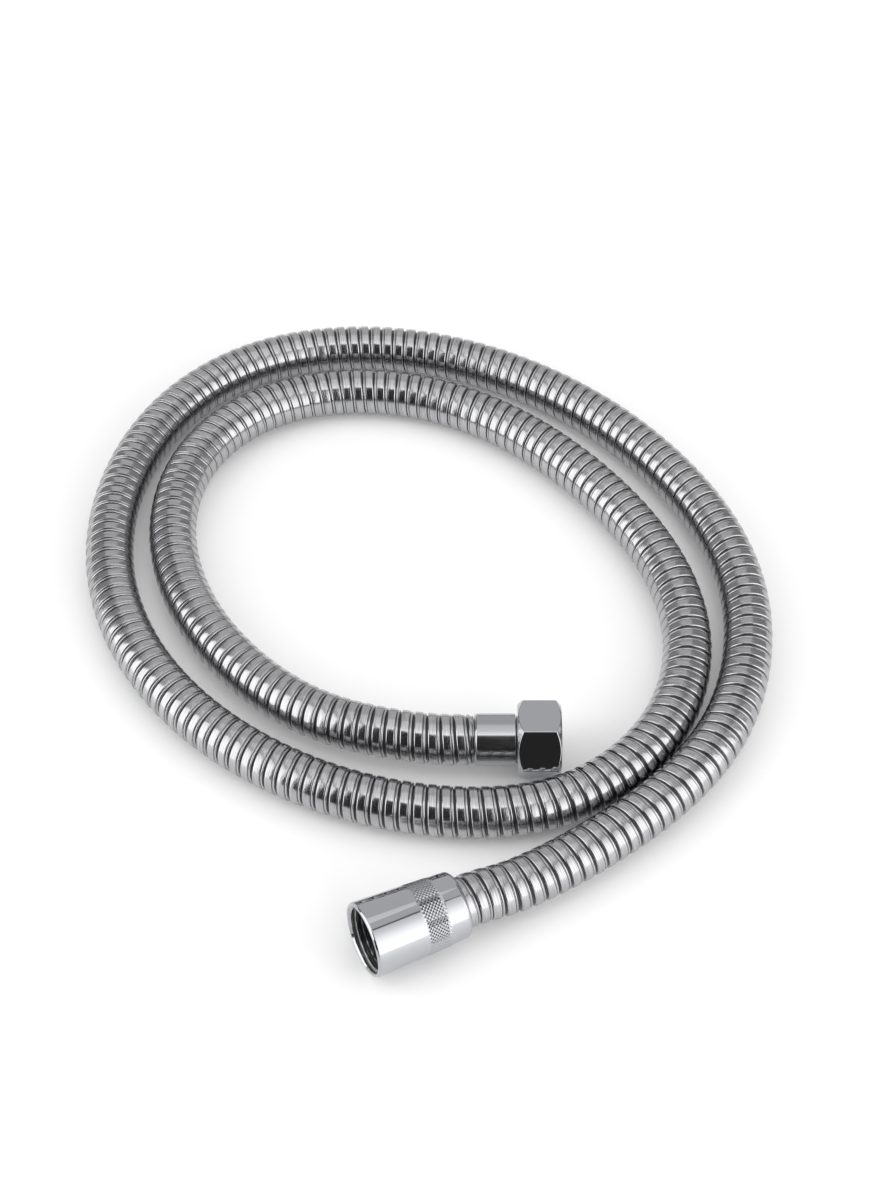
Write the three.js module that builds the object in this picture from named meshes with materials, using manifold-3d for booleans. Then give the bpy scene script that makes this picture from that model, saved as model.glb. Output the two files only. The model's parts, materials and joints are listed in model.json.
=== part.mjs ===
// Shower hose: a strip-wound metal hose over a rubber tube, with a hexagon nut on one end
// and a knurled cone nut on the other, lying on a table in a flat spiral of two turns.
// Millimetres, +Z up, the table at z = 0.
import * as THREE from "three";
import { mergeVertices } from "three/addons/utils/BufferGeometryUtils.js";
import Module from "manifold-3d";

const wasm = await Module();
wasm.setup();

// Driving sizes: the hose and the tube inside it
const hoseRadius = 8;
const hoseWall = 1;
const tubeWall = 1.3;

// Driving sizes: what both ends share, measured along an end's axis from the nut's mouth
const threadMinorRadius = 9.315;
const threadMajorRadius = 10.48;
const mouthBevel = 1.1;
const socketDepth = 7.2;
const washerThickness = 2;
const washerHoleRadius = 5.5;
const flangeRadius = 9.1;
const flangeThickness = 1.8;
const seatReliefRadius = 9.6;
const neckRadius = 7.3;
const stemWall = 1.2;
const stemLength = 15;
const barbCount = 4;
const barbDepth = 0.4;
const barbPitch = 2.6;
const ferruleStep = 0.2;
const ferruleLength = 12.8;
const ferruleLip = 1.2;
const ferruleChamfer = 0.7;
const spigotLength = 4;
const spigotWall = 0.6;

// Driving sizes: hexagon nut
const hexAcrossFlats = 22.5;
const hexLip = 2;
const hexChamferCircleRadius = 10.9;
const hexChamferAngle = THREE.MathUtils.degToRad(40);

// Driving sizes: cone nut
const coneMouthRadius = 11.6;
const coneBackWall = 1.8;
const coneLength = 31;
const coneMouthChamfer = 0.5;
const coneBackRounding = 1.6;
const knurlStart = 16.2;
const knurlLength = 8;
const knurlDepth = 0.3;
const knurlRows = 8;

// Clearances
const gap = 0.3;
const runningClearance = 0.3;
const neckClearance = 0.3;
const stemClearance = 0.3;

// Facets
const turnedSides = 40;
const roundNutSides = 72;
const hoseSides = 12;
const tubeSides = 8;
const hoseSteps = 76;

// Where the two ends lie on the table: each nut rests on an edge, the hexagon nut rolled a little
// from its flat and the cone nut with its mouth raised
const hexMouth = { x: 43.3, y: -52.8 };
const hexHeading = THREE.MathUtils.degToRad(180);
const hexRoll = THREE.MathUtils.degToRad(4);
const coneMouth = { x: -16.5, y: -125.3 };
const coneHeading = THREE.MathUtils.degToRad(26.4);
const coneTilt = THREE.MathUtils.degToRad(4);

// The hose's route between its ends: x, y, and how far it is lifted off the table
const straightRun = 6;
const settlingRun = 6;
const route = [
  [-21.5, -49, 4],
  [-46.5, -35.5, 1.4],
  [-74, -5, 0],
  [-88.5, 34, 0],
  [-83.5, 74, 0],
  [-56, 102.5, 0],
  [-14, 108.5, 0],
  [26, 93, 0],
  [56.5, 64.5, 0],
  [79, 31, 0],
  [89.5, -7, 0],
  [80, -47, 0],
  [48, -76, 0],
  [8, -79.5, 0],
  [-31, -70, 0],
  [-66, -49, 0],
  [-92.5, -19, 0],
  [-107.5, 19, 0],
  [-107, 59, 0],
  [-92.5, 97, 0],
  [-62, 124, 0],
  [-21, 131, 0],
  [18.5, 122, 0],
  [53, 102, 0],
  [81, 74, 0],
  [102, 38.5, 0],
  [109.5, 0, 0],
  [100, -45, 0],
  [71, -78.5, 0.2],
  [31, -104, 0.3],
];

// Radii that follow, from the hose inwards and outwards
const spigotRadius = hoseRadius - hoseWall - gap;
const ferruleBoreRadius = spigotRadius - spigotWall;
const tubeRadius = ferruleBoreRadius - gap;
const tubeBoreRadius = tubeRadius - tubeWall;
const stemRadius = tubeBoreRadius - stemClearance;
const stemBoreRadius = stemRadius - stemWall;
const ferruleRadius = hoseRadius + ferruleStep;
const guideRadius = ferruleRadius + runningClearance;
const coneBackRadius = guideRadius + coneBackWall;

// Stations along an end's axis, all measured from the nut's mouth
const washerBack = socketDepth + washerThickness;
const flangeFront = washerBack + gap;
const flangeBack = flangeFront + flangeThickness;
const shoulder = flangeBack + gap;
const hexLength = shoulder + hexLip;
const neckEnd = hexLength + gap;
const stemEnd = neckEnd + stemLength;
const ferruleFront = neckEnd + gap;
const tubeStart = ferruleFront + ferruleLip + gap;
const ferruleBack = ferruleFront + ferruleLength;
const spigotEnd = ferruleBack + spigotLength;
const hoseStart = ferruleBack + gap;
const straightEnd = hoseStart + straightRun;
const settledEnd = straightEnd + settlingRun;
const coneRoundedEdge = coneLength - coneBackRounding;
const hexCornerRadius = hexAcrossFlats / Math.sqrt(3);

// Materials
const chrome = { color: 0xc9cccf, metalness: 1, roughness: 0.08 };
const steel = { color: 0xa9abae, metalness: 1, roughness: 0.25 };
const satinChrome = { color: 0xb9bcbf, metalness: 1, roughness: 0.25 };
const tubeRubber = { color: 0xd8d6cf, metalness: 0, roughness: 0.7 };
const washerRubber = { color: 0x1b1b1c, metalness: 0, roughness: 0.8 };

function named(name, geometry, look) {
  const mesh = new THREE.Mesh(geometry, new THREE.MeshStandardMaterial(look));
  mesh.name = name;
  return mesh;
}

// A ring turned about the end's axis, local +Z, from a closed outline of [radius, depth]
function turned(outline, sides) {
  const points = [...outline, outline[0]].map(([radius, depth]) => new THREE.Vector2(radius, depth));
  return new THREE.LatheGeometry(points, sides).rotateX(Math.PI / 2);
}

function toSolid(geometry) {
  const bare = geometry.clone();
  bare.deleteAttribute("normal");
  bare.deleteAttribute("uv");
  const merged = mergeVertices(bare, 1e-4);
  return new wasm.Manifold(
    new wasm.Mesh({
      numProp: 3,
      vertProperties: new Float32Array(merged.attributes.position.array),
      triVerts: new Uint32Array(merged.index.array),
    }),
  );
}

function toGeometry(solid) {
  const mesh = solid.getMesh();
  const geometry = new THREE.BufferGeometry();
  geometry.setAttribute("position", new THREE.BufferAttribute(new Float32Array(mesh.vertProperties), 3));
  geometry.setIndex(new THREE.BufferAttribute(new Uint32Array(mesh.triVerts), 1));
  geometry.computeVertexNormals();
  return geometry;
}

// The bore that both nuts share, from the back of the seat to the mouth
function socketOutline() {
  return [
    [seatReliefRadius, shoulder],
    [seatReliefRadius, socketDepth],
    [threadMinorRadius, socketDepth],
    [threadMinorRadius, mouthBevel],
    [threadMajorRadius, 0],
  ];
}

// Hexagon nut: a hexagonal bar cut by a turned outline with a chamfer at each end
function hexNut() {
  const overrun = 1;
  const turningRadius = hexCornerRadius + overrun;
  const chamferDepth = (turningRadius - hexChamferCircleRadius) * Math.tan(hexChamferAngle);
  const lipRadius = neckRadius + neckClearance;
  const outline = [
    [hexChamferCircleRadius, 0],
    [turningRadius, chamferDepth],
    [turningRadius, hexLength - chamferDepth],
    [hexChamferCircleRadius, hexLength],
    [lipRadius, hexLength],
    [lipRadius, shoulder],
    ...socketOutline(),
  ];
  const hexagon = new THREE.Shape();
  for (let corner = 0; corner < 6; corner++) {
    const angle = hexRoll + Math.PI / 6 + (corner * Math.PI) / 3;
    const [x, y] = [hexCornerRadius * Math.cos(angle), hexCornerRadius * Math.sin(angle)];
    if (corner === 0) hexagon.moveTo(x, y);
    else hexagon.lineTo(x, y);
  }
  const bar = new THREE.ExtrudeGeometry(hexagon, { depth: hexLength + 2 * overrun, bevelEnabled: false });
  bar.translate(0, 0, -overrun);
  return toGeometry(toSolid(bar).intersect(toSolid(turned(outline, roundNutSides))));
}

function coneOuterRadius(depth) {
  return coneMouthRadius + ((coneBackRadius - coneMouthRadius) * depth) / coneLength;
}

// Cone nut: a tapered sleeve with a knurled band, which also runs back over the hose
function coneNut() {
  const knurl = [];
  for (let row = 0; row <= knurlRows; row++) {
    const depth = knurlStart + (knurlLength * row) / knurlRows;
    knurl.push([coneOuterRadius(depth), depth]);
  }
  const rounding = [];
  const roundingSteps = 4;
  for (let step = 0; step <= roundingSteps; step++) {
    const angle = (step / roundingSteps) * (Math.PI / 2);
    const inset = coneBackRounding * (1 - Math.cos(angle));
    const depth = coneRoundedEdge + coneBackRounding * Math.sin(angle);
    rounding.push([coneOuterRadius(coneRoundedEdge) - inset, depth]);
  }
  const outline = [
    [coneMouthRadius - coneMouthChamfer, 0],
    [coneOuterRadius(coneMouthChamfer), coneMouthChamfer],
    ...knurl,
    ...rounding,
    [guideRadius, coneLength],
    [guideRadius, shoulder],
    ...socketOutline(),
  ];
  const geometry = turned(outline, roundNutSides);
  const firstKnurlRow = 2;
  const place = geometry.attributes.position;
  const perSide = outline.length + 1;
  for (let side = 0; side <= roundNutSides; side++) {
    for (let row = 1; row < knurlRows; row++) {
      if ((side + row) % 2 === 0) continue;
      const at = side * perSide + firstKnurlRow + row;
      const shrink = 1 - knurlDepth / knurl[row][0];
      place.setXY(at, place.getX(at) * shrink, place.getY(at) * shrink);
    }
  }
  geometry.computeVertexNormals();
  return geometry;
}

// Insert: a flange that the nut pulls on, a neck through the nut's lip and a barbed stem
function insert() {
  const rootRadius = stemRadius - barbDepth;
  const outline = [
    [flangeRadius, flangeFront],
    [flangeRadius, flangeBack],
    [neckRadius, flangeBack],
    [neckRadius, neckEnd],
    [rootRadius, neckEnd],
  ];
  for (let barb = barbCount; barb > 0; barb--) {
    const barbFront = stemEnd - barb * barbPitch;
    outline.push([rootRadius, barbFront], [stemRadius, barbFront]);
  }
  outline.push([rootRadius, stemEnd], [stemBoreRadius, stemEnd], [stemBoreRadius, flangeFront]);
  return turned(outline, turnedSides);
}

// Ferrule: a collar crimped round the tube, with a spigot that the metal hose is wound on
function ferrule() {
  return turned(
    [
      [ferruleRadius, ferruleFront],
      [ferruleRadius, ferruleBack - ferruleChamfer],
      [ferruleRadius - ferruleChamfer, ferruleBack],
      [spigotRadius, ferruleBack],
      [spigotRadius, spigotEnd],
      [ferruleBoreRadius, spigotEnd],
      [ferruleBoreRadius, ferruleFront + ferruleLip],
      [tubeBoreRadius, ferruleFront + ferruleLip],
      [tubeBoreRadius, ferruleFront],
    ],
    turnedSides,
  );
}

function washer() {
  return turned(
    [
      [flangeRadius, socketDepth],
      [flangeRadius, washerBack],
      [washerHoleRadius, washerBack],
      [washerHoleRadius, socketDepth],
    ],
    turnedSides,
  );
}

// An end of the hose: a group at the nut's mouth, with local +Z into the hose and +X upwards
function endFrame(mouth, height, heading, tilt) {
  const inward = new THREE.Vector3(
    Math.cos(heading) * Math.cos(tilt),
    Math.sin(heading) * Math.cos(tilt),
    -Math.sin(tilt),
  );
  const side = new THREE.Vector3().crossVectors(inward, new THREE.Vector3(0, 0, 1)).normalize();
  const up = new THREE.Vector3().crossVectors(side, inward);
  const group = new THREE.Group();
  group.position.set(mouth.x, mouth.y, height);
  group.quaternion.setFromRotationMatrix(new THREE.Matrix4().makeBasis(up, side, inward));
  const at = (depth) => group.position.clone().addScaledVector(inward, depth);
  return { group, at };
}

const hexHeight = hexCornerRadius * Math.cos(Math.PI / 6 - hexRoll);
const coneRestRadius = coneOuterRadius(coneRoundedEdge);
const coneHeight = coneRestRadius * Math.cos(coneTilt) + coneRoundedEdge * Math.sin(coneTilt);
const hexEnd = endFrame(hexMouth, hexHeight, hexHeading, 0);
const coneEnd = endFrame(coneMouth, coneHeight, coneHeading, coneTilt);

// A regular polygon's corners; across its corners it measures twice the radius
function polygon(radius, sides) {
  const corners = [];
  for (let corner = 0; corner < sides; corner++) {
    const angle = (2 * Math.PI * corner) / sides;
    corners.push(new THREE.Vector2(radius * Math.cos(angle), radius * Math.sin(angle)));
  }
  return corners;
}

// A smooth line that follows its points as a bent rod would: a uniform cubic B-spline
class SmoothLine extends THREE.Curve {
  constructor(points) {
    super();
    const [first, second] = points;
    const [last, beforeLast] = [points.at(-1), points.at(-2)];
    this.spans = points.length - 1;
    this.points = [
      first.clone().multiplyScalar(2).sub(second),
      ...points,
      last.clone().multiplyScalar(2).sub(beforeLast),
    ];
  }

  getPoint(t, target = new THREE.Vector3()) {
    const span = Math.min(Math.floor(t * this.spans), this.spans - 1);
    const u = t * this.spans - span;
    const weights = [
      (1 - u) ** 3,
      3 * u ** 3 - 6 * u ** 2 + 4,
      -3 * u ** 3 + 3 * u ** 2 + 3 * u + 1,
      u ** 3,
    ];
    target.set(0, 0, 0);
    weights.forEach((weight, i) => target.addScaledVector(this.points[span + i], weight / 6));
    return target;
  }
}

// A tube along the route, from the depth start inside one end to the same depth in the other
function tubeAlongRoute(radius, wall, sides, start) {
  const section = new THREE.Shape(polygon(radius, sides));
  const boreCornerRadius = (radius - wall) / Math.cos(Math.PI / sides);
  section.holes.push(new THREE.Path(polygon(boreCornerRadius, sides)));
  const path = new SmoothLine([
    hexEnd.at(start),
    hexEnd.at(straightEnd),
    hexEnd.at(settledEnd),
    ...route.map(([x, y, lift]) => new THREE.Vector3(x, y, hoseRadius + lift)),
    coneEnd.at(settledEnd),
    coneEnd.at(straightEnd),
    coneEnd.at(start),
  ]);
  path.arcLengthDivisions = 2000;
  return new THREE.ExtrudeGeometry(section, { steps: hoseSteps, extrudePath: path, bevelEnabled: false });
}

const hose = new THREE.Group();
hose.add(named("outer_hose", tubeAlongRoute(hoseRadius, hoseWall, hoseSides, hoseStart), steel));
hose.add(named("inner_tube", tubeAlongRoute(tubeRadius, tubeWall, tubeSides, tubeStart), tubeRubber));

hexEnd.group.add(named("hex_nut", hexNut(), chrome));
coneEnd.group.add(named("cone_nut", coneNut(), chrome));
for (const [end, prefix] of [
  [hexEnd, "hex_end"],
  [coneEnd, "cone_end"],
]) {
  end.group.add(named(`${prefix}_ferrule`, ferrule(), chrome));
  end.group.add(named(`${prefix}_insert`, insert(), satinChrome));
  end.group.add(named(`${prefix}_washer`, washer(), washerRubber));
  hose.add(end.group);
}

export default hose;
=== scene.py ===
import json
import math

import bpy
import numpy as np
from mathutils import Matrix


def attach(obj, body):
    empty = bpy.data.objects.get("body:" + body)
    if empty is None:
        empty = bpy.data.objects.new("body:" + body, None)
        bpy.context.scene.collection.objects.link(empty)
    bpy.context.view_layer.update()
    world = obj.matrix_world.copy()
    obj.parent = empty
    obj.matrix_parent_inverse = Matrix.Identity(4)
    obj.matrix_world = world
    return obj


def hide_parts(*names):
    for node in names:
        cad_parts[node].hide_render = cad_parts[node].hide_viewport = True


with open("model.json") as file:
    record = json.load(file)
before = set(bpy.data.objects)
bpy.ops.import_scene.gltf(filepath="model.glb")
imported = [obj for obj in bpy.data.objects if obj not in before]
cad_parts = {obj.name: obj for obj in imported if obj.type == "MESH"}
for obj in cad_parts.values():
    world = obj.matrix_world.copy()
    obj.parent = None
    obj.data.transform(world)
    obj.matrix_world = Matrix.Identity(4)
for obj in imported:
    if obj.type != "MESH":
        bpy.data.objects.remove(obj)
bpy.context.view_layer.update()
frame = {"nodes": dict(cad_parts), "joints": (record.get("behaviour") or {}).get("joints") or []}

# Sizes and places are in millimetres here, and turn into metres where a mesh is made
MM = 0.001


# Camera: it looks along +Y and down, as the photograph does
FRAME_PIXELS = 1200
FOCAL_PIXELS = 2100
SENSOR_MM = 36
CAMERA_ELEVATION = math.radians(50)
CAMERA_DISTANCE = 696.2
CAMERA_AIM = np.array([8.2, 7.1, 8.0])


def make_camera():
    data = bpy.data.cameras.new("camera")
    data.sensor_width = SENSOR_MM
    data.lens = SENSOR_MM * FOCAL_PIXELS / FRAME_PIXELS
    camera = bpy.data.objects.new("camera", data)
    bpy.context.scene.collection.objects.link(camera)
    back = np.array([0, -math.cos(CAMERA_ELEVATION), math.sin(CAMERA_ELEVATION)])
    camera.location = (CAMERA_AIM + back * CAMERA_DISTANCE) * MM
    camera.rotation_euler = (math.pi / 2 - CAMERA_ELEVATION, 0, 0)
    bpy.context.scene.camera = camera


make_camera()


# The two ends: a frame at each nut's mouth, where depths are measured into the hose
def unit(v):
    v = np.asarray(v, float)
    return v / np.linalg.norm(v, axis=-1, keepdims=True)


class End:
    def __init__(self, joint_name):
        joint = next(j for j in frame["joints"] if j["name"] == joint_name)
        self.mouth = np.array(joint["pos_m"]) / MM
        self.inward = -unit(joint["axis"])
        self.side = unit(np.cross(self.inward, (0, 0, 1)))
        self.up = np.cross(self.side, self.inward)

    def at(self, depth):
        return self.mouth + self.inward * depth

    def points(self, angle, radius, depth):
        angle, radius, depth = np.broadcast_arrays(angle, radius, depth)
        outward = np.cos(angle)[..., None] * self.up + np.sin(angle)[..., None] * self.side
        return self.mouth + outward * radius[..., None] + self.inward * depth[..., None]


hex_end = End("hex_nut_spin")
cone_end = End("cone_nut_spin")

# Depths and radii at the ends, as the solids have them
GAP = 0.3
THREAD_MINOR_RADIUS = 9.315
THREAD_MAJOR_RADIUS = 10.48
THREAD_PITCH = 1.814
MOUTH_BEVEL = 1.1
SOCKET_DEPTH = 7.2
WASHER_THICKNESS = 2
WASHER_HOLE_RADIUS = 5.5
WASHER_ROUNDING = 0.25
FLANGE_RADIUS = 9.1
FLANGE_THICKNESS = 1.8
SEAT_RELIEF_RADIUS = 9.6
NECK_RADIUS = 7.3
STEM_BORE_RADIUS = 3
STEM_RADIUS = 4.2
STEM_LENGTH = 15
FERRULE_RADIUS = 8.2
FERRULE_LENGTH = 12.8
FERRULE_LIP = 1.2
FERRULE_CHAMFER = 0.7
FERRULE_ROUNDING = 0.3
FERRULE_BORE_RADIUS = 6.1
SPIGOT_RADIUS = 6.7
SPIGOT_LENGTH = 4
HEX_ACROSS_FLATS = 22.5
HEX_LIP = 2
HEX_CHAMFER_CIRCLE_RADIUS = 10.9
HEX_CHAMFER_ANGLE = math.radians(40)
HEX_ROLL = math.radians(4)
CONE_MOUTH_RADIUS = 11.6
CONE_BACK_RADIUS = 10.3
CONE_LENGTH = 31
CONE_MOUTH_CHAMFER = 0.5
CONE_BACK_ROUNDING = 1.6
KNURL_START = 16.2
KNURL_LENGTH = 8

WASHER_BACK = SOCKET_DEPTH + WASHER_THICKNESS
FLANGE_FRONT = WASHER_BACK + GAP
FLANGE_BACK = FLANGE_FRONT + FLANGE_THICKNESS
SHOULDER = FLANGE_BACK + GAP
HEX_LENGTH = SHOULDER + HEX_LIP
NECK_END = HEX_LENGTH + GAP
FERRULE_FRONT = NECK_END + GAP
FERRULE_BACK = FERRULE_FRONT + FERRULE_LENGTH
HOSE_START = FERRULE_BACK + GAP
# The hose leaves each ferrule straight, and this long again on it has come to its own route
STRAIGHT_LENGTH = 6
STRAIGHT_END = HOSE_START + STRAIGHT_LENGTH
SETTLED_END = STRAIGHT_END + STRAIGHT_LENGTH

# The hose's route between its ends: x, y, and how far it is lifted off the table
HOSE_RADIUS = 8
ROUTE = [
    (-21.5, -49, 4),
    (-46.5, -35.5, 1.4),
    (-74, -5, 0),
    (-88.5, 34, 0),
    (-83.5, 74, 0),
    (-56, 102.5, 0),
    (-14, 108.5, 0),
    (26, 93, 0),
    (56.5, 64.5, 0),
    (79, 31, 0),
    (89.5, -7, 0),
    (80, -47, 0),
    (48, -76, 0),
    (8, -79.5, 0),
    (-31, -70, 0),
    (-66, -49, 0),
    (-92.5, -19, 0),
    (-107.5, 19, 0),
    (-107, 59, 0),
    (-92.5, 97, 0),
    (-62, 124, 0),
    (-21, 131, 0),
    (18.5, 122, 0),
    (53, 102, 0),
    (81, 74, 0),
    (102, 38.5, 0),
    (109.5, 0, 0),
    (100, -45, 0),
    (71, -78.5, 0.2),
    (31, -104, 0.3),
]


class Line:
    """The hose's centreline, a uniform cubic B-spline, measured by its length from the hexagon nut's end."""

    def __init__(self, points, per_span=60):
        points = np.array(points, float)
        points = np.vstack([2 * points[0] - points[1], points, 2 * points[-1] - points[-2]])
        spans = len(points) - 3
        t = np.linspace(0, spans, spans * per_span + 1)
        span = np.minimum(t.astype(int), spans - 1)
        u = (t - span)[:, None]
        near = [points[span + i] for i in range(4)]
        weights = [(1 - u) ** 3, 3 * u**3 - 6 * u**2 + 4, -3 * u**3 + 3 * u**2 + 3 * u + 1, u**3]
        slopes = [-((1 - u) ** 2), 3 * u**2 - 4 * u, -3 * u**2 + 2 * u + 1, u**2]
        self.place = sum(w * p for w, p in zip(weights, near)) / 6
        self.heading = unit(sum(w * p for w, p in zip(slopes, near)))
        steps = np.linalg.norm(np.diff(self.place, axis=0), axis=1)
        self.station = np.concatenate([[0], np.cumsum(steps)])
        self.length = self.station[-1]
        self.bend = np.gradient(self.heading, self.station, axis=0)

    def read(self, values, station):
        return np.stack([np.interp(station, self.station, values[:, i]) for i in range(3)], -1)

    def outward(self, station, angle):
        heading = unit(self.read(self.heading, station))
        side = unit(np.cross(heading, (0, 0, 1)))
        up = np.cross(side, heading)
        return np.cos(angle)[..., None] * up + np.sin(angle)[..., None] * side

    def points(self, station, angle, radius):
        station, angle, radius = np.broadcast_arrays(station, angle, radius)
        outward = self.outward(station, angle)
        return self.read(self.place, station) + outward * radius[..., None]

    def stretch(self, station, angle, radius):
        """How much longer the hose's skin is there than its centreline: above 1 outside a bend."""
        outward = self.outward(station, angle)
        return 1 - radius * np.sum(self.read(self.bend, station) * outward, axis=-1)


line = Line(
    [hex_end.at(HOSE_START), hex_end.at(STRAIGHT_END), hex_end.at(SETTLED_END)]
    + [(x, y, HOSE_RADIUS + lift) for x, y, lift in ROUTE]
    + [cone_end.at(SETTLED_END), cone_end.at(STRAIGHT_END), cone_end.at(HOSE_START)]
)


# Meshes
CREASE_ANGLE = math.radians(30)
JOINED_WITHIN = 1e-4
UV_LAYER = "strip"


def make_mesh(name, points, quads, uv=None, marks=None, normals=None):
    """A mesh from points in millimetres. Points that coincide are joined, and faces with no area left out.

    Edges over CREASE_ANGLE are sharp, unless each point has its own normal (zeros let the mesh make it).
    """
    keys = np.round(np.asarray(points) / JOINED_WITHIN).astype(np.int64)
    _, first, index = np.unique(keys, axis=0, return_index=True, return_inverse=True)
    index = index.reshape(-1)
    joined = index[quads]
    faces, corners = [], []
    for face, quad in zip(joined.tolist(), quads.tolist()):
        kept = [i for i in range(4) if face[i] != face[i - 1]]
        if len(kept) > 2:
            faces.append([face[i] for i in kept])
            corners.extend(quad[i] for i in kept)
    data = bpy.data.meshes.new(name)
    data.from_pydata((np.asarray(points)[first] * MM).tolist(), [], faces)
    if uv is not None:
        layer = data.uv_layers.new(name=UV_LAYER)
        layer.data.foreach_set("uv", np.asarray(uv, np.float32)[corners].ravel())
    for mark, values in (marks or {}).items():
        layer = data.attributes.new(name=mark, type="FLOAT", domain="POINT")
        layer.data.foreach_set("value", np.asarray(values, np.float32)[first])
    data.polygons.foreach_set("use_smooth", [True] * len(faces))
    data.validate()
    data.update()
    if normals is None:
        data.set_sharp_from_angle(angle=CREASE_ANGLE)
    else:
        data.normals_split_custom_set_from_vertices(np.asarray(normals)[first].tolist())
    piece = bpy.data.objects.new(name, data)
    bpy.context.scene.collection.objects.link(piece)
    return piece


def grid(rows, columns, closed_rows=False, closed_columns=False):
    """The quads of a grid of points, as indices, row by row."""
    index = np.arange(rows * columns).reshape(rows, columns)
    if closed_rows:
        index = np.vstack([index, index[:1]])
    if closed_columns:
        index = np.hstack([index, index[:, :1]])
    parts = [index[:-1, :-1], index[:-1, 1:], index[1:, 1:], index[1:, :-1]]
    return np.stack([p.ravel() for p in parts], -1)


# The metal hose: one strip wound into a right-hand helix, swept along the route
STRIP_PITCH = 4.23
STRIP_SIDES = 26
# One turn of the strip: place along the hose, radius, tilt of the skin in degrees, and painted shade, which
# darkens the colour in its grooves
STRIP_TURN = [
    (-2.22, 6.95, -45, 1),
    (-2.26, 7.42, -78, 0.1),
    (-2.02, 7.75, -22, 0),
    (-1.66, 7.74, 25, 0),
    (-1.43, 7.40, -10, 0.9),
    (-1.29, 7.74, -70, 0.3),
    (-1.06, 7.97, -3, 0),
    (0, 8, 0, 0),
    (1.00, 7.98, 3, 0),
    (1.30, 7.87, 42, 0),
    (1.44, 7.52, 80, 0.1),
    (1.38, 6.95, 45, 1),
]
HOSE_NECK_RADIUS = 7.35
HOSE_NECK_LENGTH = 0.7
HOSE_NECK_BLEND = 0.8
HOSE_BORE_RADIUS = 6.85
HOSE_BORE_RINGS = 146


def strip_turns():
    """The strip's skin: points, uv, painted shade marks and normals, one row of each per step round the helix.
    """
    turns = round(line.length / STRIP_PITCH)
    step = np.arange(-STRIP_SIDES, (turns + 1) * STRIP_SIDES + 1)[:, None]
    angle = 2 * math.pi * step / STRIP_SIDES
    centre = step * (line.length / turns) / STRIP_SIDES
    offset, radius, tilt, painted_shade = np.array(STRIP_TURN).T

    # The turns open outside a bend and close inside it, and shrink to a plain neck at each end
    stretch = line.stretch(np.clip(centre, 0, line.length), angle, np.full_like(angle, HOSE_RADIUS, float))
    station = np.clip(centre + offset / stretch, 0, line.length)
    from_end = np.minimum(station, line.length - station)
    blend = np.clip((from_end - HOSE_NECK_LENGTH) / HOSE_NECK_BLEND, 0, 1)
    blend = blend * blend * (3 - 2 * blend)
    radius = HOSE_NECK_RADIUS + (radius - HOSE_NECK_RADIUS) * blend

    angle = np.broadcast_to(angle, station.shape)
    points = line.points(station, angle, radius)
    tilt = (np.radians(tilt) * blend)[..., None]
    outward, heading = line.outward(station, angle), line.read(line.heading, station)
    normals = np.cos(tilt) * outward + np.sin(tilt) * heading
    along = np.hypot(np.diff(station, axis=1), np.diff(radius, axis=1))
    across = np.hstack([np.zeros((len(step), 1)), np.cumsum(along, axis=1)])
    uv = np.stack([angle * HOSE_RADIUS, across], -1)
    return points, uv, np.broadcast_to(painted_shade, station.shape), normals


def helix_quads(steps, columns):
    """The quads of the strip, whose last column meets the first column of the turn after it."""
    index = np.arange(steps * columns).reshape(steps, columns)
    wide = np.hstack([index[:-STRIP_SIDES], index[STRIP_SIDES:, :1]])
    parts = [wide[:-1, :-1], wide[1:, :-1], wide[1:, 1:], wide[:-1, 1:]]
    return np.stack([p.ravel() for p in parts], -1)


def hose_bore():
    """The points of the hose's inside, as rings, of which the first and last close its ends."""
    station = np.linspace(0, line.length, HOSE_BORE_RINGS)
    station = np.concatenate([[0], station, [line.length]])
    radius = np.full(len(station), HOSE_BORE_RADIUS)
    radius[[0, -1]] = HOSE_NECK_RADIUS
    angle = np.arange(STRIP_SIDES) * 2 * math.pi / STRIP_SIDES
    return line.points(station[:, None], angle[None, :], radius[:, None])


def make_hose():
    points, uv, painted_shade, normals = strip_turns()
    bore = hose_bore()
    inside = grid(*bore.shape[:2], closed_columns=True) + painted_shade.size
    piece = make_mesh(
        "hose_strip",
        np.vstack([points.reshape(-1, 3), bore.reshape(-1, 3)]),
        np.vstack([helix_quads(*painted_shade.shape), inside]),
        np.vstack([uv.reshape(-1, 2), np.zeros((bore[..., 0].size, 2))]),
        # The hose's inside is marked for full painted shade
        {"painted_shade": np.concatenate([painted_shade.ravel(), np.ones(bore[..., 0].size)])},
        np.vstack([normals.reshape(-1, 3), np.zeros_like(bore).reshape(-1, 3)]),
    )
    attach(piece, "hose")
    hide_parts("outer_hose")
    return piece


hose = make_hose()


# Turned pieces
TURNED_SIDES = 96
CORNER_RADIUS = 0.15
FINE_CORNER = 0.1
CORNER_SHARE = 0.4
CORNER_STEPS = 4
CORNER_POINTS = CORNER_STEPS + 3
GUARD_REACH = 1.2
# Makes an angle a length for the finish's grain, on pieces of about this radius
GRAIN_RADIUS = 10


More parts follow.
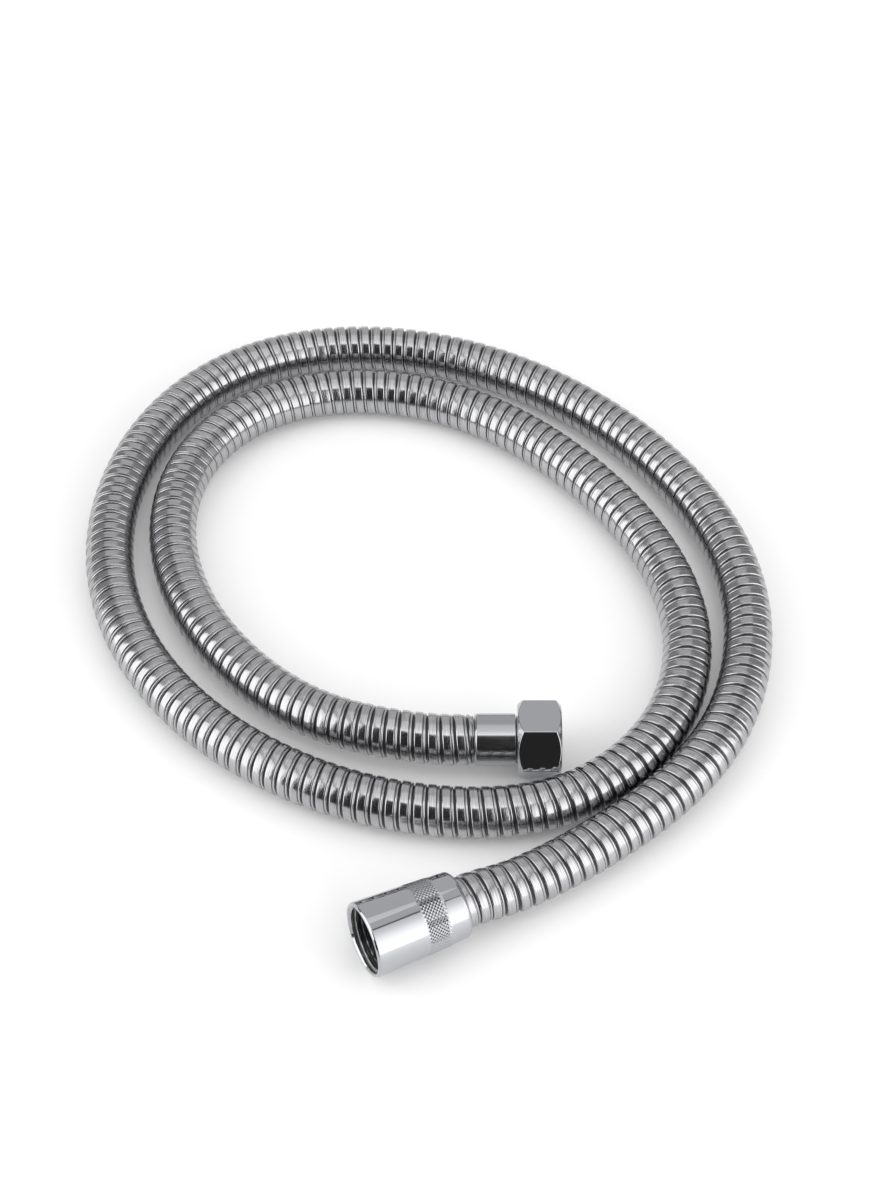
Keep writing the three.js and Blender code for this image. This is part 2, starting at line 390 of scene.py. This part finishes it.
def rounded(outline):
    """A closed outline of (radius, depth) with each corner made an arc; a third number is a corner's own arc.

    An arc takes at most CORNER_SHARE of the flats beside it. Each corner gives CORNER_POINTS points. The first
    and the last are guards, a little way along the flats, that keep the flats' shading plain.
    """
    corners = [(np.array(c[:2], float), c[2] if len(c) > 2 else CORNER_RADIUS) for c in outline]
    result = []
    for i, (corner, arc) in enumerate(corners):
        before = corners[i - 1][0] - corner
        after = corners[(i + 1) % len(corners)][0] - corner
        reach = min(arc, CORNER_SHARE * np.linalg.norm(before), CORNER_SHARE * np.linalg.norm(after))
        start, end = corner + unit(before) * reach, corner + unit(after) * reach
        result.append(corner + unit(before) * reach * GUARD_REACH)
        for t in np.linspace(0, 1, CORNER_STEPS + 1):
            result.append((1 - t) ** 2 * start + 2 * t * (1 - t) * corner + t * t * end)
        result.append(corner + unit(after) * reach * GUARD_REACH)
    return np.array(result)


def turned(name, end, outline):
    """A ring turned about an end's axis from a closed outline of (radius, depth)."""
    radius, depth = rounded(outline).T
    angle = np.arange(TURNED_SIDES) * 2 * math.pi / TURNED_SIDES
    points = end.points(angle[:, None], radius[None, :], depth[None, :])
    uv = np.stack(np.broadcast_arrays(angle[:, None] * GRAIN_RADIUS, depth[None, :]), -1)
    quads = grid(TURNED_SIDES, len(radius), closed_rows=True, closed_columns=True)
    return make_mesh(name, points.reshape(-1, 3), quads, uv.reshape(-1, 2))


def make_ferrule(end, name):
    spigot_end = FERRULE_BACK + SPIGOT_LENGTH
    stem_way = STEM_RADIUS + GAP
    return turned(
        name,
        end,
        [
            (FERRULE_RADIUS, FERRULE_FRONT),
            (FERRULE_RADIUS, FERRULE_BACK - FERRULE_CHAMFER, FERRULE_ROUNDING),
            (FERRULE_RADIUS - FERRULE_CHAMFER, FERRULE_BACK),
            (SPIGOT_RADIUS, FERRULE_BACK),
            (SPIGOT_RADIUS, spigot_end),
            (FERRULE_BORE_RADIUS, spigot_end),
            (FERRULE_BORE_RADIUS, FERRULE_FRONT + FERRULE_LIP),
            (stem_way, FERRULE_FRONT + FERRULE_LIP),
            (stem_way, FERRULE_FRONT),
        ],
    )


def make_insert(end, name):
    stem_end = NECK_END + STEM_LENGTH
    return turned(
        name,
        end,
        [
            (FLANGE_RADIUS, FLANGE_FRONT),
            (FLANGE_RADIUS, FLANGE_BACK),
            (NECK_RADIUS, FLANGE_BACK),
            (NECK_RADIUS, NECK_END),
            (STEM_RADIUS, NECK_END),
            (STEM_RADIUS, stem_end),
            (STEM_BORE_RADIUS, stem_end),
            (STEM_BORE_RADIUS, FLANGE_FRONT),
        ],
    )


def make_washer(end, name):
    return turned(
        name,
        end,
        [
            (FLANGE_RADIUS, SOCKET_DEPTH, WASHER_ROUNDING),
            (FLANGE_RADIUS, WASHER_BACK, WASHER_ROUNDING),
            (WASHER_HOLE_RADIUS, WASHER_BACK, WASHER_ROUNDING),
            (WASHER_HOLE_RADIUS, SOCKET_DEPTH, WASHER_ROUNDING),
        ],
    )


# Nuts: a threaded bore, and an outside that may change round the nut
THREAD_ROWS = 72
THREAD_STEEPNESS = 1.5
SEAT_STEP = 0.01
# How much painted shade, a darker and rougher colour, goes into grooves: in the mouth's bevel, the bore, and
# the knurl's valleys
BEVEL_PAINTED_SHADE = 0.1
BORE_PAINTED_SHADE = 0.6
KNURL_PAINTED_SHADE = 0.3


def socket_rows(angle):
    """The bore's (radius, depth) at each angle, from the shoulder out to the mouth, as two arrays."""
    depth = np.linspace(SOCKET_DEPTH, 0, THREAD_ROWS)
    turn = depth[None, :] / THREAD_PITCH - angle[:, None] / (2 * math.pi)
    wave = np.abs((turn % 1) - 0.5) * 2
    tooth = np.clip((wave - 0.5) * THREAD_STEEPNESS + 0.5, 0, 1)
    threaded = THREAD_MINOR_RADIUS + (THREAD_MAJOR_RADIUS - THREAD_MINOR_RADIUS) * tooth
    bevel = THREAD_MAJOR_RADIUS - (THREAD_MAJOR_RADIUS - THREAD_MINOR_RADIUS) * depth / MOUTH_BEVEL
    radius = np.maximum(threaded, np.maximum(bevel, THREAD_MINOR_RADIUS)[None, :])
    ones = np.ones((len(angle), 1))
    seat_radius = [SEAT_RELIEF_RADIUS, SEAT_RELIEF_RADIUS, THREAD_MINOR_RADIUS]
    seat_depth = [SHOULDER, SOCKET_DEPTH + 2 * SEAT_STEP, SOCKET_DEPTH + SEAT_STEP]
    radii = np.hstack([ones * seat_radius, radius])
    depths = np.hstack([ones * seat_depth, ones * depth])
    return radii, depths


def split_knurl(quads, rows, knurl_rows):
    """Cuts the knurl's quads in two along the diagonal that lies in a groove."""
    side, row = np.divmod(np.arange(len(quads)), rows)
    inside = (row >= knurl_rows[0]) & (row < knurl_rows[1])
    even = (side + row) % 2 == 0
    plain, across, along = quads[~inside], quads[inside & even], quads[inside & ~even]
    across_halves = [across[:, [0, 1, 3, 3]], across[:, [1, 2, 3, 3]]]
    along_halves = [along[:, [0, 1, 2, 2]], along[:, [0, 2, 3, 3]]]
    return np.vstack([plain, *across_halves, *along_halves])


def nut(name, end, angle, outside_radius, outside_depth, knurl_rows=None):
    """A nut from its outside's rows, which run from the mouth to the edge of the hole in its back."""
    inside_radius, inside_depth = socket_rows(angle)
    # Painted shade marks: the knurl's valleys, the bore darker towards its thread roots, and the mouth's bevel
    painted_shade = np.zeros_like(outside_radius)
    if knurl_rows:
        side, row = np.indices(outside_radius.shape)
        in_knurl = (row > knurl_rows[0]) & (row < knurl_rows[1])
        painted_shade[in_knurl & ((side + row) % 2 == 1)] = KNURL_PAINTED_SHADE
    root = (inside_radius - THREAD_MINOR_RADIUS) / (THREAD_MAJOR_RADIUS - THREAD_MINOR_RADIUS)
    bore_painted_shade = BORE_PAINTED_SHADE + (1 - BORE_PAINTED_SHADE) * root
    painted_shade = np.hstack([painted_shade, np.where(inside_depth < MOUTH_BEVEL, BEVEL_PAINTED_SHADE, bore_painted_shade)])
    radius = np.hstack([outside_radius, inside_radius])
    depth = np.hstack([outside_depth, inside_depth])
    points = end.points(np.broadcast_to(angle[:, None], radius.shape), radius, depth)
    uv = np.stack([np.broadcast_to(angle[:, None] * GRAIN_RADIUS, radius.shape), depth], -1)
    quads = grid(*radius.shape, closed_rows=True, closed_columns=True)
    if knurl_rows:
        quads = split_knurl(quads, radius.shape[1], knurl_rows)
    return make_mesh(name, points.reshape(-1, 3), quads, uv.reshape(-1, 2), {"painted_shade": painted_shade.ravel()})


HEX_EDGE_ROUNDING = 0.45
HEX_FLAT_POINTS = 13
HEX_EDGE_STEPS = 4


def hexagon():
    """The hexagon's outline with its edges rounded: the radius and the angle of each point, in order."""
    flat = HEX_ACROSS_FLATS / 2
    sixth = math.pi / 3
    flat_end = (flat - HEX_EDGE_ROUNDING) * math.tan(sixth / 2)
    arc_centre = np.array([flat - HEX_EDGE_ROUNDING, flat_end])
    face_points = [(flat, y) for y in np.linspace(-flat_end, flat_end, HEX_FLAT_POINTS)]
    for a in np.linspace(0, sixth, HEX_EDGE_STEPS + 1)[1:-1]:
        face_points.append(arc_centre + HEX_EDGE_ROUNDING * np.array([math.cos(a), math.sin(a)]))
    outline = []
    for face in range(6):
        for x, y in face_points:
            outline.append((math.hypot(x, y), math.atan2(y, x) + face * sixth + HEX_ROLL))
    radius, angle = np.array(outline).T
    order = np.argsort(angle)
    return radius[order], angle[order]


def make_hex_nut():
    side_radius, angle = hexagon()
    rise = np.maximum(side_radius - HEX_CHAMFER_CIRCLE_RADIUS, 0) * math.tan(HEX_CHAMFER_ANGLE)
    radii, depths = [], []
    for radius, chamfer in zip(side_radius, rise):
        rows = rounded(
            [
                (THREAD_MAJOR_RADIUS, 0, FINE_CORNER),
                (HEX_CHAMFER_CIRCLE_RADIUS, 0, FINE_CORNER),
                (radius, chamfer),
                (radius, HEX_LENGTH - chamfer),
                (HEX_CHAMFER_CIRCLE_RADIUS, HEX_LENGTH, FINE_CORNER),
                (NECK_RADIUS + GAP, HEX_LENGTH, 2 * FINE_CORNER),
                (NECK_RADIUS + GAP, SHOULDER, FINE_CORNER),
            ]
        )
        radii.append(rows[CORNER_POINTS:, 0])
        depths.append(rows[CORNER_POINTS:, 1])
    return nut("hex_nut_body", hex_end, angle, np.array(radii), np.array(depths))


KNURL_LINES_ROUND = 56
KNURL_LINES_ALONG = 7
KNURL_DEPTH = 0.19
KNURL_RISE = 0.06
KNURL_MARGIN = 0.05
CONE_BACK_STEPS = 12


def wall(depth):
    """The cone nut's outer radius at a depth."""
    return CONE_MOUTH_RADIUS + (CONE_BACK_RADIUS - CONE_MOUTH_RADIUS) * depth / CONE_LENGTH


def make_cone_nut():
    sides = 2 * KNURL_LINES_ROUND
    angle = np.arange(sides) * 2 * math.pi / sides
    guide = FERRULE_RADIUS + GAP
    back_start = CONE_LENGTH - CONE_BACK_ROUNDING

    # From the mouth to the knurl, from the knurl round the back's big rounding, and the hole in the back
    front = rounded(
        [
            (THREAD_MAJOR_RADIUS, 0, FINE_CORNER),
            (CONE_MOUTH_RADIUS - CONE_MOUTH_CHAMFER, 0),
            (wall(CONE_MOUTH_CHAMFER), CONE_MOUTH_CHAMFER, 2 * FINE_CORNER),
            (wall(KNURL_START), KNURL_START, KNURL_MARGIN),
        ]
    )[CORNER_POINTS : 1 - CORNER_POINTS]
    turn = np.linspace(0, math.pi / 2, CONE_BACK_STEPS + 1)
    after_knurl = KNURL_START + KNURL_LENGTH + KNURL_MARGIN
    back_radius = np.append(wall(after_knurl), wall(back_start) - CONE_BACK_ROUNDING * (1 - np.cos(turn)))
    back_depth = np.append(after_knurl, back_start + CONE_BACK_ROUNDING * np.sin(turn))
    back = rounded(
        [
            (guide, back_start),
            (wall(back_start), CONE_LENGTH),
            (guide, CONE_LENGTH, 2.5 * FINE_CORNER),
            (guide, SHOULDER, FINE_CORNER),
        ]
    )[2 * CORNER_POINTS :]

    # The knurl is a grid of peaks and valleys by turns, plain at both its edges
    rows = 2 * KNURL_LINES_ALONG + 1
    knurl_depth = KNURL_START + KNURL_LENGTH * np.linspace(0, 1, rows)
    side, row = np.indices((sides, rows))
    peak = (side + row + len(front)) % 2 == 0
    knurl_radius = wall(knurl_depth) + np.where(peak, KNURL_RISE, KNURL_RISE - KNURL_DEPTH)
    knurl_radius[:, [0, -1]] = wall(knurl_depth)[[0, -1]]

    ones = np.ones((sides, 1))
    radius = np.hstack([ones * front[:, 0], knurl_radius, ones * back_radius, ones * back[:, 0]])
    depth = np.hstack([ones * front[:, 1], ones * knurl_depth, ones * back_depth, ones * back[:, 1]])
    return nut("cone_nut_body", cone_end, angle, radius, depth, (len(front), len(front) + rows - 1))


# Materials
NOISE_LOW, NOISE_HIGH = 0.3, 0.7


class Material:
    """A procedural material: a Principled shader, with short calls to feed its inputs from noise.

    A noise lies between about NOISE_LOW and NOISE_HIGH, which become the low and high values given.
    """

    def __init__(self, name, metallic=0):
        self.data = bpy.data.materials.new(name)
        self.data.use_nodes = True
        self.tree = self.data.node_tree
        self.shader = self.tree.nodes["Principled BSDF"]
        self.shader.inputs["Metallic"].default_value = metallic

    def node(self, kind, **settings):
        made = self.tree.nodes.new(kind)
        for key, value in settings.items():
            if key in made.inputs:
                made.inputs[key].default_value = value
            else:
                setattr(made, key, value)
        return made

    def link(self, output, target):
        self.tree.links.new(output, target)

    def place(self, scale, uv=False):
        if uv:
            source = self.node("ShaderNodeUVMap", uv_map=UV_LAYER).outputs[0]
        else:
            source = self.node("ShaderNodeTexCoord").outputs["Object"]
        mapping = self.node("ShaderNodeMapping", Scale=scale)
        self.link(source, mapping.inputs["Vector"])
        return mapping.outputs[0]

    def noise(self, scale, uv=False, detail=2.0):
        texture = self.node("ShaderNodeTexNoise", Scale=1.0, Detail=detail)
        self.link(self.place(scale, uv), texture.inputs["Vector"])
        return texture.outputs["Fac"]

    def roughen(self, source, low, high):
        limits = {"From Min": NOISE_LOW, "From Max": NOISE_HIGH, "To Min": low, "To Max": high}
        made = self.node("ShaderNodeMapRange", **limits)
        self.link(source, made.inputs["Value"])
        self.link(made.outputs[0], self.shader.inputs["Roughness"])

    def tint(self, source, low, high):
        ramp = self.node("ShaderNodeValToRGB")
        ramp.color_ramp.elements[0].position = NOISE_LOW
        ramp.color_ramp.elements[0].color = (*low, 1)
        ramp.color_ramp.elements[1].position = NOISE_HIGH
        ramp.color_ramp.elements[1].color = (*high, 1)
        self.link(source, ramp.inputs[0])
        self.link(ramp.outputs[0], self.shader.inputs["Base Color"])

    def paint_groove_shade(self, colour, roughness):
        """Paints shade into grooves: mixes the base colour towards a darker one, and the roughness towards
        another, by the mesh's painted shade mark.

        The roughness has to be fed already, by roughen.
        """
        amount = self.node("ShaderNodeAttribute", attribute_name="painted_shade").outputs["Fac"]
        for name, value in (("Base Color", colour), ("Roughness", (roughness, roughness, roughness))):
            target = self.shader.inputs[name]
            mix = self.node("ShaderNodeMixRGB", Color2=(*value, 1))
            if target.links:
                self.link(target.links[0].from_socket, mix.inputs["Color1"])
            else:
                mix.inputs["Color1"].default_value = target.default_value
            self.link(amount, mix.inputs["Fac"])
            self.link(mix.outputs[0], target)

    def bump(self, source, depth_mm):
        made = self.node("ShaderNodeBump", Strength=1.0, Distance=depth_mm * MM)
        before = self.shader.inputs["Normal"].links
        if before:
            self.link(before[0].from_socket, made.inputs["Normal"])
        self.link(source, made.inputs["Height"])
        self.link(made.outputs[0], self.shader.inputs["Normal"])

    def glow(self, source, strength):
        """Gives off white light, as strong as a source times a strength."""
        made = self.node("ShaderNodeMath", operation="MULTIPLY")
        self.link(source, made.inputs[0])
        made.inputs[1].default_value = strength
        self.shader.inputs["Emission Color"].default_value = (1, 1, 1, 1)
        self.link(made.outputs[0], self.shader.inputs["Emission Strength"])

    def put_on(self, *pieces):
        for piece in pieces:
            piece.data.materials.clear()
            piece.data.materials.append(self.data)


def strip_steel():
    made = Material("strip_steel", metallic=1)
    streaks = made.noise((0.12, 3.2, 1), uv=True)
    dents = made.noise((0.45, 0.9, 1), uv=True)
    fine = made.noise((0.5, 9.0, 1), uv=True)
    made.tint(streaks, (0.36, 0.36, 0.37), (0.53, 0.53, 0.54))
    made.roughen(fine, 0.12, 0.24)
    # Painted shade: a near-black, rougher colour in the strip's slots and over the hose's inside
    made.paint_groove_shade((0.09, 0.09, 0.095), 0.35)
    made.bump(dents, 0.035)
    made.bump(streaks, 0.012)
    made.bump(fine, 0.003)
    return made


def chrome(name, colour, roughness, grain, grain_depth):
    made = Material(name, metallic=1)
    made.shader.inputs["Base Color"].default_value = (*colour, 1)
    texture = made.noise(grain, uv=True)
    made.roughen(texture, *roughness)
    made.bump(texture, grain_depth)
    return made


def nut_plating():
    made = chrome("nut_chrome", (0.47, 0.475, 0.50), (0.03, 0.06), (0.1, 0.2, 1), 0.004)
    # Painted shade: a darker, rougher colour in the knurl's valleys, the bore's threads and the mouth's bevel
    made.paint_groove_shade((0.32, 0.32, 0.315), 0.42)
    return made


def turned_plating():
    made = Material("turned_plating", metallic=1)
    rings = made.noise((0.02, 4, 1), uv=True)
    made.tint(rings, (0.38, 0.38, 0.39), (0.50, 0.50, 0.51))
    made.roughen(rings, 0.25, 0.4)
    made.bump(rings, 0.01)
    return made


def rubber(name, low, high, roughness):
    """Matte rubber between two colours, with its grain in the object's own metres."""
    made = Material(name)
    grain = made.noise((900, 900, 900), detail=4.0)
    made.tint(grain, low, high)
    made.roughen(grain, *roughness)
    made.bump(grain, 0.02)
    return made


strip_steel().put_on(hose)
nut_chrome = nut_plating()
ferrule_chrome = chrome("ferrule_chrome", (0.41, 0.415, 0.43), (0.10, 0.2), (2.5, 0.08, 1), 0.006)
satin_chrome = turned_plating()
black_rubber = rubber("washer_rubber", (0.012, 0.012, 0.013), (0.03, 0.03, 0.03), (0.62, 0.78))
pale_rubber = rubber("tube_rubber", (0.66, 0.65, 0.60), (0.76, 0.75, 0.71), (0.52, 0.68))

for end, prefix, nut_body, make_nut in (
    (hex_end, "hex_end", "hex_nut", make_hex_nut),
    (cone_end, "cone_end", "cone_nut", make_cone_nut),
):
    body = make_nut()
    nut_chrome.put_on(body)
    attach(body, nut_body)
    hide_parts(nut_body)
    for make, part, finish, rider, slot in (
        (make_ferrule, "ferrule", ferrule_chrome, "hose", "ferrule_chrome"),
        (make_insert, "insert", satin_chrome, "hose", "insert_plating"),
        (make_washer, "washer", black_rubber, nut_body, "washer_rubber"),
    ):
        piece = make(end, f"{prefix}_{part}_body")
        finish.put_on(piece)
        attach(piece, rider)
        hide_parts(f"{prefix}_{part}")

inner_tube = frame["nodes"]["inner_tube"]
pale_rubber.put_on(inner_tube)

line.read(line.place, np.linspace(0, line.length, 300)) * MM


# Floor and studio, whose own sizes are in metres
FLOOR_SIZE = 12
FLOOR_GLOW = 0.1
WORLD_GREY = 0.72
STUDIO_RADIUS = 1.6
FRAME_RADIUS = STUDIO_RADIUS * 1.03
OVERHEAD_HEIGHT = 1.5
PANEL_COLUMNS, PANEL_ROWS = 25, 17

SOFTBOX_RADIANCE = 2.15
FRAME_RADIANCE = 0.2
BACK_RADIANCE = 0.35

# Brightness along a panel, from its lower edge up or from its front back
EVEN = [1, 1]
RIGHT_GLOW = [1, 1, 1, 0.95, 0.8, 0.6, 0.45]
LEFT_GLOW = [1, 1, 1, 1, 0.95, 0.85, 0.7]
OVERHEAD_GLOW = [1, 0.6, 0.52, 0.47]


def studio_material(name, colour, roughness, specular):
    made = Material(name)
    made.shader.inputs["Base Color"].default_value = (*colour, 1)
    made.shader.inputs["Roughness"].default_value = roughness
    made.shader.inputs["Specular IOR Level"].default_value = specular
    return made


def make_floor():
    """The floor glows a little to what looks at it, and keeps its shadows."""
    bpy.ops.mesh.primitive_plane_add(size=FLOOR_SIZE)
    floor = bpy.context.object
    floor.name = "floor"
    material = studio_material("floor", (0.94, 0.94, 0.94), 0.3, 0.35)
    path = material.node("ShaderNodeLightPath")
    seen = path.outputs["Is Camera Ray"]
    for kind in ("Is Glossy Ray", "Is Transmission Ray"):
        either = material.node("ShaderNodeMath", operation="MAXIMUM")
        material.link(seen, either.inputs[0])
        material.link(path.outputs[kind], either.inputs[1])
        seen = either.outputs[0]
    material.glow(seen, FLOOR_GLOW)
    material.put_on(floor)


def direction(azimuth, elevation):
    """Azimuth 0 is the camera's side, and it grows to the right."""
    a, e = math.radians(azimuth), math.radians(elevation)
    return np.array([math.sin(a) * math.cos(e), -math.cos(a) * math.cos(e), math.sin(e)])


def make_panel(name, points, columns, rows, radiance, glow):
    """A glowing sheet that the camera doesn't see; glow is its brightness along a column."""
    shares = np.interp(np.linspace(0, 1, rows), np.linspace(0, 1, len(glow)), glow)
    made = make_mesh(name, points, grid(columns, rows), marks={"glow": np.tile(shares, columns)})
    made.visible_camera = False
    material = studio_material(name, (0.02, 0.02, 0.02), 1, 0)
    material.glow(material.node("ShaderNodeAttribute", attribute_name="glow").outputs["Fac"], radiance)
    material.put_on(made)


def panel(name, azimuths, elevations, radiance, glow=EVEN, radius=STUDIO_RADIUS):
    """A curved panel round the object, from one azimuth and elevation, in degrees, to another."""
    columns, rows = np.linspace(*azimuths, PANEL_COLUMNS), np.linspace(*elevations, PANEL_ROWS)
    points = np.array([direction(a, e) for a in columns for e in rows]) * radius / MM
    make_panel(name, points, len(columns), len(rows), radiance, glow)


def overhead_panel(half_width, front, back, radiance):
    """A level panel above the object, from one place in front of it to another behind it."""
    columns, rows = np.array([-half_width, half_width]), np.linspace(front, back, PANEL_ROWS)
    points = np.array([(x, y, OVERHEAD_HEIGHT) for x in columns for y in rows]) / MM
    make_panel("softbox_overhead", points, len(columns), len(rows), radiance, OVERHEAD_GLOW)


def fill_light(name, size, height, radiance):
    """An overhead lamp for the floor alone: mirrors don't show it."""
    data = bpy.data.lights.new(name, "AREA")
    data.shape = "SQUARE"
    data.size = size
    data.energy = radiance * math.pi * size * size
    light = bpy.data.objects.new(name, data)
    bpy.context.scene.collection.objects.link(light)
    light.location = (0, 0, height)
    light.visible_camera = False
    light.visible_glossy = False


def make_studio():
    panel("softbox_right", (16, 92), (0.3, 63), SOFTBOX_RADIANCE, RIGHT_GLOW)
    panel("softbox_left", (-106, -46), (0.3, 64), SOFTBOX_RADIANCE, LEFT_GLOW)
    panel("frame_right", (13, 97), (0.3, 65.5), FRAME_RADIANCE, radius=FRAME_RADIUS)
    panel("frame_left", (-109, -44), (0.3, 66), FRAME_RADIANCE, radius=FRAME_RADIUS)
    overhead_panel(half_width=0.45, front=-0.55, back=0.9, radiance=2.1)
    panel("dark_front", (-44, 14), (-1, 69), 0.015)
    panel("grey_back_left", (-152, -110), (0, 50), BACK_RADIANCE)
    panel("grey_back_right", (110, 152), (0, 50), BACK_RADIANCE)
    fill_light("overhead_fill", size=2.6, height=1.9, radiance=0.8)
    world = bpy.data.worlds.new("studio")
    world.use_nodes = True
    background = world.node_tree.nodes["Background"]
    background.inputs["Color"].default_value = (WORLD_GREY, WORLD_GREY, WORLD_GREY, 1)
    background.inputs["Strength"].default_value = 1
    bpy.context.scene.world = world


make_floor()
make_studio()
bpy.context.scene.view_settings.view_transform = "Standard"
